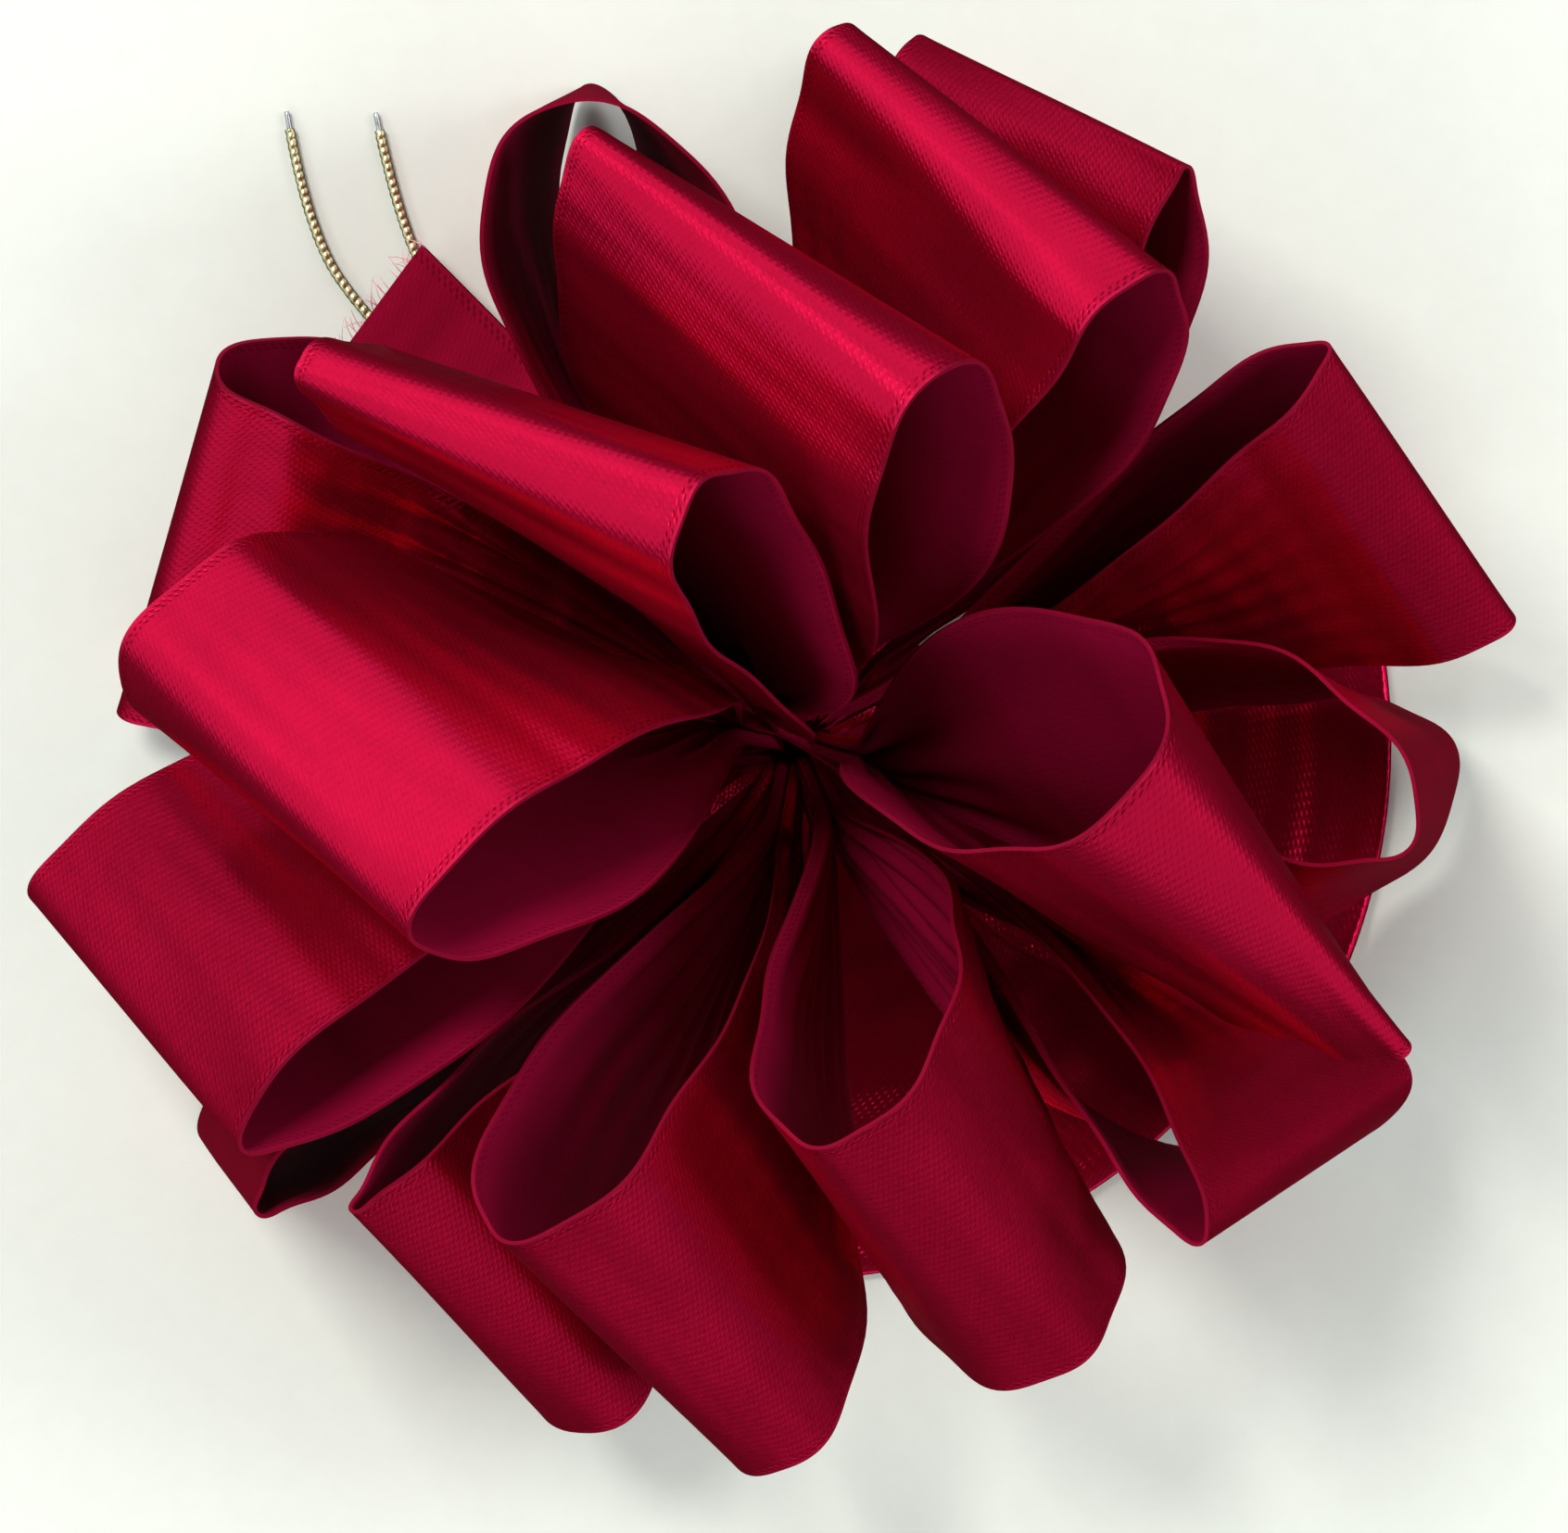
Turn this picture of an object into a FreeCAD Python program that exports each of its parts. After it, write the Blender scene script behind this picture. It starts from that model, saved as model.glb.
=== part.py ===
"""Pre-made gift bow: satin ribbon loops pinched at one waist and tied with wrapped wire.

Millimetres and degrees. The origin is the centre of the waist's flat underside, on the surface
that the bow rests on, and +Z is up through the top loops.
"""
import FreeCAD, Part
import math
import os
from FreeCAD import Vector

# ---- ribbon
RIBBON_WIDTH = 38.1         # 1 1/2 inch satin ribbon
RIBBON_THICKNESS = 0.4
PINCH_HEIGHT = 14.4         # height of the point that every upper loop grows from
FOOT_RADIUS = 7.0           # from that point to the foot of each loop
FOOT_WIDTH_SHARE = 0.08     # width of the gathered foot, as a share of the ribbon's width
FOOT_HALF_GAP = 0.5         # from a loop's own plane to the middle of each leg, at the foot
GATHER_POWER = 1.2          # how the gathered width opens out
STATIONS_ALONG = 41         # places along the ribbon where a loop's surface is worked out
STATIONS_ACROSS = 7         # and across it

# ---- loops: one ribbon, folded into teardrops that fan out from the pinch
# azimuth    compass direction of the loop's tip, anticlockwise from +X
# elevation  angle of the tip above the horizontal
# roll       turn of the ribbon's width about the loop's own length; -90 is upright
# reach      from the pinch to the tip
# opening    half thickness of the teardrop, before it is rounded off
# fullness   how far out the teardrop is thickest
# bend       sideways bend of the whole loop, as a share of its reach
# twist      turn of the foot against the tip
# gather     share of the length over which the ribbon widens to its full width
# flare      how much wider the lower edge opens than the upper one
LOOP_COLUMNS = ("azimuth", "elevation", "roll", "reach", "opening", "fullness", "bend", "twist",
                "gather", "flare")
LOOPS = {
    "top_loop_1": (129, 50, -66, 50.0, 7.0, 2.8, -0.06, 20, 0.40, -0.3),
    "top_loop_2": (167, 48, -111, 50.0, 11.5, 1.8, -0.22, -23, 0.70, 0.0),
    "top_loop_3": (292, 39, -79, 50.0, 11.5, 1.8, 0.06, 25, 0.90, 0.0),
    "top_loop_4": (340, 46, -109, 52.5, 9.0, 1.8, 0.00, -4, 0.55, -0.6),
    "top_loop_5": (97, 46, -53, 49.5, 7.5, 1.7, 0.04, 2, 0.60, -0.3),
    "middle_loop_1": (190, 27, -122, 54.5, 7.0, 1.9, -0.24, -10, 0.70, -0.1),
    "middle_loop_2": (262, 31, -58, 52.5, 10.0, 2.0, 0.10, 25, 0.85, -0.1),
    "middle_loop_3": (26, 12, -129, 52.0, 5.0, 1.6, 0.08, -34, 1.00, 0.1),
    "middle_loop_4": (67, 23, -41, 51.5, 7.0, 1.6, -0.10, 24, 0.85, -0.2),
    "middle_loop_5": (239, 16, -55, 52.0, 6.5, 1.7, -0.02, 33, 0.95, 0.6),
    "base_loop_1": (155, -5, -43, 49.5, 6.5, 1.4, -0.18, -19, 1.15, -0.3),
    "base_loop_2": (215, 5.5, -100, 54.0, 5.5, 1.4, -0.04, 4, 1.15, 0.3),
    "base_loop_3": (312, 9, -63, 50.5, 8.0, 1.8, -0.14, 50, 1.05, 0.5),
    "base_loop_4": (356, 9, -86, 49.0, 11.0, 1.4, 0.02, 43, 1.15, 0.1),
    "base_loop_5": (54, -2, -53, 50.0, 5.0, 1.5, -0.32, -6, 1.05, 0.1),
    "base_loop_6": (112, 5.5, -96, 52.0, 8.5, 1.0, 0.04, -20, 1.15, -0.4),
}

# ---- two loops pressed flat under the tie: azimuth and reach
UNDER_LOOPS = {"under_loop_1": (353, 47.0), "under_loop_2": (295, 38.0)}
UNDER_HEIGHT = 1.0          # height of the middle of their fold
UNDER_HALF_GAP = 0.45       # from there to the middle of each leg
# share of the way from foot to fold, half width there
UNDER_OUTLINE = ((0, 1.6), (0.175, 4.6), (0.4, 10.0), (0.65, 14.6), (0.925, 19.05))

# ---- waist: the gathered ribbon, its neck and the wire round the neck
CROWN_RADIUS = 6.2
NECK_RADIUS = 3.6
NECK_FOOT_HEIGHT = 4.2      # where the base starts to spread below the neck
BASE_RADIUS = 5.0
BASE_HEIGHT = 2.6
BASE_ROUND = 0.7

# ---- tie wire: a steel core in a wrapped gold sleeve
CORE_DIAMETER = 0.4
SLEEVE_DIAMETER = 0.84
SLEEVE_BORE = 0.5
TIE_TURNS = 3
TIE_PITCH = 0.9
TIE_CLEARANCE = 0.05
TWIST_START = (5.2, 5.1)    # radius and height where the two ends start to twist together
TWIST_SLOPE = -28.0
TWIST_PITCH = 3.2
TWIST_LENGTH = 4.4
TWIST_HALF_SPACING = 0.47
TWIST_TO_TAIL_GAP = 0.5
CORE_STICKS_OUT = 1.4

# ---- the ribbon's cut end, pleated into three layers
TAIL_AZIMUTH = 134.5
TAIL_STATIONS = (           # radius, height of the top layer's middle, width, azimuth of its run
    (7.5, 8.8, 3.0, 134.5),
    (16.0, 6.7, 7.5, 134.5),
    (26.0, 4.6, 11.0, 136.0),
    (36.0, 3.6, 12.7, 139.0),
    (47.0, 3.5, 12.7, 143.5),
)
TAIL_LAYER_PITCH = 0.8

# ---- the two wire tails, from the twist to their tips on the table
WIRE_REST = SLEEVE_DIAMETER / 2
WIRE_TAILS = {
    "wire_tail_left": [
        (-11.2, 9.9, 0.9), (-17.4, 17.0, WIRE_REST), (-25.5, 25.2, WIRE_REST),
        (-33.3, 32.8, WIRE_REST), (-38.1, 39.6, WIRE_REST), (-39.6, 47.9, WIRE_REST),
    ],
    "wire_tail_right": [
        (-9.4, 11.6, 0.9), (-15.3, 18.4, WIRE_REST), (-22.4, 27.0, WIRE_REST),
        (-28.6, 35.2, WIRE_REST), (-31.4, 42.2, WIRE_REST), (-32.6, 47.8, WIRE_REST),
    ],
}


def unit(vector):
    """The same direction with length 1."""
    return vector * (1.0 / vector.Length)


def loop_axes(azimuth, elevation, roll):
    """Directions of a loop: out along its length, across the ribbon and through the teardrop."""
    turn, lift, tilt = (math.radians(angle) for angle in (azimuth, elevation, roll))
    out = Vector(math.cos(lift) * math.cos(turn), math.cos(lift) * math.sin(turn), math.sin(lift))
    level = Vector(-math.sin(turn), math.cos(turn), 0)
    across = level * math.cos(tilt) + out.cross(level) * math.sin(tilt)
    return out, across, across.cross(out)


def loop_point(shape, along, side):
    """A point of the ribbon's middle surface; along is 0 to 1 round the loop, side -1 to 1."""
    out, across, through = shape["axes"]
    share = (1 - math.cos(2 * math.pi * along)) / 2
    teardrop = math.sin(2 * math.pi * along) * abs(math.sin(math.pi * along)) ** shape["fullness"]
    thick = shape["opening"] * teardrop * (1 + shape["flare"] * side)
    thick += FOOT_HALF_GAP * math.cos(math.pi * along)
    thick += shape["bend"] * shape["reach"] * share ** 2
    opened = math.sin(math.pi / 2 * min(share / shape["gather"], 1)) ** GATHER_POWER
    half_width = RIBBON_WIDTH / 2 * (FOOT_WIDTH_SHARE + (1 - FOOT_WIDTH_SHARE) * opened)
    turned = math.radians(shape["twist"]) * (1 - share)
    wide = across * math.cos(turned) + through * math.sin(turned)
    deep = through * math.cos(turned) - across * math.sin(turned)
    length = FOOT_RADIUS + (shape["reach"] - FOOT_RADIUS) * share
    return Vector(0, 0, PINCH_HEIGHT) + out * length + deep * thick + wide * (half_width * side)


def loop_normal(shape, along, side):
    """The ribbon's normal there, from two short steps on its surface."""
    step = 1e-3
    before, after = max(along - step, 0), min(along + step, 1)
    left, right = max(side - step, -1), min(side + step, 1)
    run = loop_point(shape, after, side) - loop_point(shape, before, side)
    width = loop_point(shape, along, right) - loop_point(shape, along, left)
    return unit(run.cross(width))


def surface_face(rows):
    """A smooth face through rows of points."""
    surface = Part.BSplineSurface()
    surface.interpolate(rows)
    return surface.toShape()


def strip_solid(inner_rows, outer_rows):
    """A closed solid between two grids of points that face each other."""
    inner, outer = surface_face(inner_rows), surface_face(outer_rows)
    faces = [inner, outer]
    for edge in inner.Edges:
        middle = edge.valueAt((edge.FirstParameter + edge.LastParameter) / 2)
        facing = min(outer.Edges, key=lambda other: other.distToShape(Part.Vertex(middle))[0])
        faces.append(Part.makeRuledSurface(edge, facing))
    shell = Part.makeShell(faces)
    shell.sewShape()
    solid = Part.Solid(shell)
    solid.fix(1e-4, 1e-4, 1e-4)
    if solid.Volume < 0:
        solid.reverse()
    return solid


def make_loop(name):
    """One teardrop loop of ribbon, from its foot out round the tip and back to its foot."""
    shape = dict(zip(LOOP_COLUMNS, LOOPS[name]))
    shape["axes"] = loop_axes(shape["azimuth"], shape["elevation"], shape["roll"])
    grids = ([], [])
    for i in range(STATIONS_ALONG):
        rows = ([], [])
        for j in range(STATIONS_ACROSS):
            place = (i / (STATIONS_ALONG - 1), 2 * j / (STATIONS_ACROSS - 1) - 1)
            middle, normal = loop_point(shape, *place), loop_normal(shape, *place)
            for row, sign in zip(rows, (-1, 1)):
                row.append(middle + normal * (sign * RIBBON_THICKNESS / 2))
        for grid, row in zip(grids, rows):
            grid.append(row)
    return strip_solid(*grids)


def revolved(profile):
    """A solid of revolution about Z from a closed (radius, height) wire."""
    return Part.Face(profile).revolve(Vector(0, 0, 0), Vector(0, 0, 1), 360)


def at(radius, height):
    """A point of a profile in the XZ plane."""
    return Vector(radius, 0, height)


def line(start, end):
    """A straight edge."""
    return Part.LineSegment(start, end).toShape()


def make_waist():
    """The ribbon gathered at the pinch: a round crown, a neck for the wire and a flat base."""
    crown_bottom = PINCH_HEIGHT - math.sqrt(CROWN_RADIUS ** 2 - NECK_RADIUS ** 2)
    crown = Part.Arc(at(NECK_RADIUS, crown_bottom), at(CROWN_RADIUS, PINCH_HEIGHT),
                     at(0, PINCH_HEIGHT + CROWN_RADIUS)).toShape()
    corner = BASE_ROUND * (1 - math.sqrt(0.5))
    round_start, round_end = at(BASE_RADIUS - BASE_ROUND, 0), at(BASE_RADIUS, BASE_ROUND)
    base_round = Part.Arc(round_start, at(BASE_RADIUS - corner, corner), round_end).toShape()
    edges = [
        line(at(0, 0), round_start),
        base_round,
        line(round_end, at(BASE_RADIUS, BASE_HEIGHT)),
        line(at(BASE_RADIUS, BASE_HEIGHT), at(NECK_RADIUS, NECK_FOOT_HEIGHT)),
        line(at(NECK_RADIUS, NECK_FOOT_HEIGHT), at(NECK_RADIUS, crown_bottom)),
        crown,
        line(at(0, PINCH_HEIGHT + CROWN_RADIUS), at(0, 0)),
    ]
    return revolved(Part.Wire(edges))


def make_tie_turns():
    """The turns of wire round the neck."""
    ring_radius = NECK_RADIUS + TIE_CLEARANCE + SLEEVE_DIAMETER / 2
    lowest = NECK_FOOT_HEIGHT + SLEEVE_DIAMETER / 2 + TIE_CLEARANCE
    rings = [Part.makeTorus(ring_radius, SLEEVE_DIAMETER / 2, Vector(0, 0, lowest + TIE_PITCH * turn))
             for turn in range(TIE_TURNS)]
    return Part.makeCompound(rings)


def twist_axis():
    """Start of the twist and its direction, away from the neck and down."""
    turn, slope = math.radians(TAIL_AZIMUTH), math.radians(TWIST_SLOPE)
    start = Vector(math.cos(turn) * TWIST_START[0], math.sin(turn) * TWIST_START[0], TWIST_START[1])
    direction = Vector(math.cos(turn) * math.cos(slope), math.sin(turn) * math.cos(slope),
                       math.sin(slope))
    return start, direction


def make_tie_twist():
    """The two wire ends twisted round each other, just below the loops."""
    strands = []
    # each strand ends where its wire tail begins, one on each side of the twist's axis
    first_angle = TAIL_AZIMUTH + 90 - 360 * TWIST_LENGTH / TWIST_PITCH
    for start_angle in (first_angle, first_angle + 180):
        helix = Part.makeHelix(TWIST_PITCH, TWIST_LENGTH, TWIST_HALF_SPACING)
        start = helix.Edges[0].firstVertex().Point
        tangent = helix.Edges[0].tangentAt(helix.Edges[0].FirstParameter)
        section = Part.Wire(Part.makeCircle(SLEEVE_DIAMETER / 2 - 0.02, start, tangent))
        strand = Part.Wire(helix.Edges).makePipeShell([section], True, True)
        strand.rotate(Vector(0, 0, 0), Vector(0, 0, 1), start_angle)
        strands.append(strand)
    twist = Part.makeCompound(strands)
    start, direction = twist_axis()
    twist.Placement = FreeCAD.Placement(start, FreeCAD.Rotation(Vector(0, 0, 1), direction))
    return twist


def rounded_path(points):
    """Straight runs joined by tangent arcs; returns the wire, its length and its radii."""
    edges, radii, begin = [], [], points[0]
    for before, corner, after in zip(points, points[1:], points[2:]):
        run_in, run_out = corner - before, after - corner
        turn = run_in.getAngle(run_out)
        radius = 0.45 * min(run_in.Length, run_out.Length) / math.tan(turn / 2)
        setback = radius * math.tan(turn / 2)
        arc_start, arc_end = corner - unit(run_in) * setback, corner + unit(run_out) * setback
        inward = unit(unit(run_out) - unit(run_in))
        middle = corner + inward * (radius / math.cos(turn / 2) - radius)
        edges += [line(begin, arc_start), Part.Arc(arc_start, middle, arc_end).toShape()]
        radii.append(radius)
        begin = arc_end
    edges.append(line(begin, points[-1]))
    return Part.Wire(edges), radii


def tube(path, diameter):
    """A round solid of one diameter along a path."""
    first = path.Edges[0]
    start, direction = first.valueAt(first.FirstParameter), first.tangentAt(first.FirstParameter)
    section = Part.Wire(Part.makeCircle(diameter / 2, start, direction))
    return path.makePipeShell([section], True, False)


def wire_route(name):
    """A wire tail's route: from its strand's end at the twist to the tip of the sleeve."""
    points = [Vector(*point) for point in WIRE_TAILS[name]]
    start, direction = twist_axis()
    sideways = unit(Vector(0, 0, 1).cross(direction))
    side = 1 if name.endswith("left") else -1
    first = start + direction * (TWIST_LENGTH + TWIST_TO_TAIL_GAP)
    return [first + sideways * (side * TWIST_HALF_SPACING)] + points


def make_wire_tail(name):
    """The gold sleeve and the steel core of one wire tail."""
    route = wire_route(name)
    path, radii = rounded_path(route)
    outside, inside = tube(path, SLEEVE_DIAMETER), tube(path, SLEEVE_BORE)
    tip = route[-1] + unit(route[-1] - route[-2]) * CORE_STICKS_OUT
    core_path = rounded_path(route[:-1] + [tip])[0]
    sleeve, core = outside.cut(inside), tube(core_path, CORE_DIAMETER)
    expected = math.pi / 4 * (SLEEVE_DIAMETER ** 2 - SLEEVE_BORE ** 2) * path.Length
    print("%s length %.1f radii %s volume %.2f of %.2f" % (
        name, path.Length, ", ".join("%.1f" % radius for radius in radii), sleeve.Volume, expected))
    return {name + "_sleeve": sleeve, name + "_core": core}


def make_under_loop(name):
    """One loop pressed flat: two level legs and a close fold, cut to the gathered outline."""
    azimuth, reach = UNDER_LOOPS[name]
    outer, inner = UNDER_HALF_GAP + RIBBON_THICKNESS / 2, UNDER_HALF_GAP - RIBBON_THICKNESS / 2
    fold_at = reach - outer
    profile = []
    for radius in (outer, inner):
        up, down = at(fold_at, UNDER_HEIGHT + radius), at(fold_at, UNDER_HEIGHT - radius)
        foot_up, foot_down = at(FOOT_RADIUS, up.z), at(FOOT_RADIUS, down.z)
        bend = Part.Arc(up, at(fold_at + radius, UNDER_HEIGHT), down).toShape()
        profile.append((line(foot_up, up), bend, line(down, foot_down), foot_up, foot_down))
    feet = [line(profile[0][3], profile[1][3]), line(profile[0][4], profile[1][4])]
    edges = list(profile[0][:3]) + list(profile[1][:3]) + feet
    face = Part.Face(Part.Wire(Part.__sortEdges__(edges)))
    face.translate(Vector(0, -RIBBON_WIDTH / 2, 0))
    legs = face.extrude(Vector(0, RIBBON_WIDTH, 0))

    knots = [(FOOT_RADIUS + share * (reach - FOOT_RADIUS), half) for share, half in UNDER_OUTLINE]
    sides = []
    for sign in (1, -1):
        side = Part.BSplineCurve()
        side.interpolate([Vector(radius, sign * half, 0) for radius, half in knots])
        sides.append(side.toShape())
    start, end = knots[0], knots[-1]
    corners = [Vector(end[0] + 5, sign * end[1], 0) for sign in (1, -1)]
    outline = sides + [line(Vector(start[0], start[1], 0), Vector(start[0], -start[1], 0)),
                       line(Vector(end[0], end[1], 0), corners[0]), line(*corners),
                       line(corners[1], Vector(end[0], -end[1], 0))]
    prism = Part.Face(Part.Wire(Part.__sortEdges__(outline))).extrude(Vector(0, 0, 5))
    loop = legs.common(prism)
    loop.rotate(Vector(0, 0, 0), Vector(0, 0, 1), azimuth)
    return loop


def tail_section(radius, height, width, azimuth):
    """The outline of three ribbon layers folded back and forth, across the tail."""
    half, gap = RIBBON_THICKNESS / 2, TAIL_LAYER_PITCH
    turn, facing = math.radians(TAIL_AZIMUTH), math.radians(azimuth)
    origin = Vector(math.cos(turn) * radius, math.sin(turn) * radius, height - gap)
    level = Vector(-math.sin(facing), math.cos(facing), 0)

    def spot(across, up):
        return origin + level * across + Vector(0, 0, up)

    def fold(side, middle, reach):
        """A half round of the fold at one side; reach is its radius."""
        return Part.Arc(spot(side * fold_at, middle + reach), spot(side * (fold_at + reach), middle),
                        spot(side * fold_at, middle - reach)).toShape()

    fold_at = width / 2 - gap / 2 - half
    outer, inner = gap / 2 + half, gap / 2 - half
    end = width / 2
    edges = [
        line(spot(-end, gap + half), spot(fold_at, gap + half)),
        fold(1, gap / 2, outer),
        line(spot(fold_at, -half), spot(-fold_at, -half)),
        fold(-1, -gap / 2, inner),
        line(spot(-fold_at, -gap + half), spot(end, -gap + half)),
        line(spot(end, -gap + half), spot(end, -gap - half)),
        line(spot(end, -gap - half), spot(-fold_at, -gap - half)),
        fold(-1, -gap / 2, outer),
        line(spot(-fold_at, half), spot(fold_at, half)),
        fold(1, gap / 2, inner),
        line(spot(fold_at, gap - half), spot(-end, gap - half)),
        line(spot(-end, gap - half), spot(-end, gap + half)),
    ]
    return Part.Wire(Part.__sortEdges__(edges))


def make_ribbon_tail():
    """The cut end of the ribbon, from its gathered foot to its cut edge."""
    return Part.makeLoft([tail_section(*station) for station in TAIL_STATIONS], True, True)


def main():
    """Build every node and write it as STEP."""
    os.makedirs("parts", exist_ok=True)
    nodes = {name: make_loop(name) for name in LOOPS}
    nodes.update({name: make_under_loop(name) for name in UNDER_LOOPS})
    nodes["gathered_waist"] = make_waist()
    nodes["tie_turns"] = make_tie_turns()
    nodes["tie_twist"] = make_tie_twist()
    nodes["ribbon_tail"] = make_ribbon_tail()
    for name in WIRE_TAILS:
        nodes.update(make_wire_tail(name))
    for name, shape in nodes.items():
        shape.exportStep("parts/%s.step" % name)
        box = shape.BoundBox
        print("%-24s valid %s solids %d volume %.1f z %.2f to %.2f" % (
            name, shape.isValid(), len(shape.Solids), shape.Volume, box.ZMin, box.ZMax))


main()
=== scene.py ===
"""Looks of the gift bow: crimson single-face satin, gathered at a waist, tied with wound gold wire."""
import math
import bpy
import numpy as np
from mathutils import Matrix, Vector


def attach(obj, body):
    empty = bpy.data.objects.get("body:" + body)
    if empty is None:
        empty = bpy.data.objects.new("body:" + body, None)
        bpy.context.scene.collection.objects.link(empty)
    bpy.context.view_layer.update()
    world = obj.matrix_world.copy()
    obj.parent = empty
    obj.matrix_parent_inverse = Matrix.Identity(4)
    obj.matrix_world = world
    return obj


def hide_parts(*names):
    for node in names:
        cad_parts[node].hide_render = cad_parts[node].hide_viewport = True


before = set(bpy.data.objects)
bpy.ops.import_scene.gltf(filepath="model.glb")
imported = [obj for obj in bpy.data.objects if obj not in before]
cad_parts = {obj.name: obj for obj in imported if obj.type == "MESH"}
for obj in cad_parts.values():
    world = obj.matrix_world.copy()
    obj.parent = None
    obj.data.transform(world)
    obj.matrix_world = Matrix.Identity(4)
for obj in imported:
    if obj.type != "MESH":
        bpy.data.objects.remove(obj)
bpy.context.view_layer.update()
MM = 0.001

# ------------------------------------------------------------------ ribbon, as in the CAD source
RIBBON_WIDTH = 38.1
RIBBON_THICKNESS = 0.26
PINCH_HEIGHT = 14.4
FOOT_RADIUS = 7.0
FOOT_WIDTH_SHARE = 0.08
FOOT_HALF_GAP = 0.5
GATHER_POWER = 1.2
FOOT_REACH_IN = 4.0          # how far a loop's gathered foot runs on towards the pinch
# azimuth, elevation, roll, reach, opening, fullness, bend, twist, gather, flare
LOOPS = {
    "top_loop_1": (129, 50, -66, 50.0, 7.0, 2.8, -0.06, 20, 0.40, -0.3),
    "top_loop_2": (167, 48, -111, 50.0, 11.5, 1.8, -0.22, -23, 0.70, 0.0),
    "top_loop_3": (292, 39, -79, 50.0, 11.5, 1.8, 0.06, 25, 0.90, 0.0),
    "top_loop_4": (340, 46, -109, 52.5, 9.0, 1.8, 0.00, -4, 0.55, -0.6),
    "top_loop_5": (97, 46, -53, 49.5, 7.5, 1.7, 0.04, 2, 0.60, -0.3),
    "middle_loop_1": (190, 27, -122, 54.5, 7.0, 1.9, -0.24, -10, 0.70, -0.1),
    "middle_loop_2": (262, 31, -58, 52.5, 10.0, 2.0, 0.10, 25, 0.85, -0.1),
    "middle_loop_3": (26, 12, -129, 52.0, 5.0, 1.6, 0.08, -34, 1.00, 0.1),
    "middle_loop_4": (67, 23, -41, 51.5, 7.0, 1.6, -0.10, 24, 0.85, -0.2),
    "middle_loop_5": (239, 16, -55, 52.0, 6.5, 1.7, -0.02, 33, 0.95, 0.6),
    "base_loop_1": (155, -5, -43, 49.5, 6.5, 1.4, -0.18, -19, 1.15, -0.3),
    "base_loop_2": (215, 5.5, -100, 54.0, 5.5, 1.4, -0.04, 4, 1.15, 0.3),
    "base_loop_3": (312, 9, -63, 50.5, 8.0, 1.8, -0.14, 50, 1.05, 0.5),
    "base_loop_4": (356, 9, -86, 49.0, 11.0, 1.4, 0.02, 43, 1.15, 0.1),
    "base_loop_5": (54, -2, -53, 50.0, 5.0, 1.5, -0.32, -6, 1.05, 0.1),
    "base_loop_6": (112, 5.5, -96, 52.0, 8.5, 1.0, 0.04, -20, 1.15, -0.4),
}
# a lower power opens a loop nearer its foot
FOOT_SPREAD = {"base_loop_5": 0.9, "base_loop_2": 0.7, "middle_loop_5": 0.8}
# shallower folds where a neighbour swings close
FOLD_DEPTH = {"base_loop_6": 0.5, "base_loop_3": 0.5, "base_loop_1": 0.6, "middle_loop_3": 0.7,
              "middle_loop_1": 0.7, "top_loop_5": 0.7}
# depth in mm of the fine gathers that take up the ribbon's width on its way to the pinch
GATHERS = {"base_loop_1": 1.2, "base_loop_6": 1.12, "base_loop_4": 1.05, "base_loop_3": 0.95,
           "middle_loop_3": 0.98, "base_loop_2": 0.8, "base_loop_5": 0.8, "top_loop_3": 0.65,
           "middle_loop_2": 0.55, "middle_loop_4": 0.6, "middle_loop_5": 0.55}
ALONG, ACROSS = 161, 65      # grid points of a loop's surface


def unit(v):
    return v / np.maximum(np.linalg.norm(v, axis=-1, keepdims=True), 1e-12)


def loop_axes(azimuth, elevation, roll):
    turn, lift, tilt = np.radians([azimuth, elevation, roll])
    out = np.array([math.cos(lift) * math.cos(turn), math.cos(lift) * math.sin(turn), math.sin(lift)])
    level = np.array([-math.sin(turn), math.cos(turn), 0.0])
    across = level * math.cos(tilt) + np.cross(out, level) * math.sin(tilt)
    return out, across, np.cross(across, out)


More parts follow.
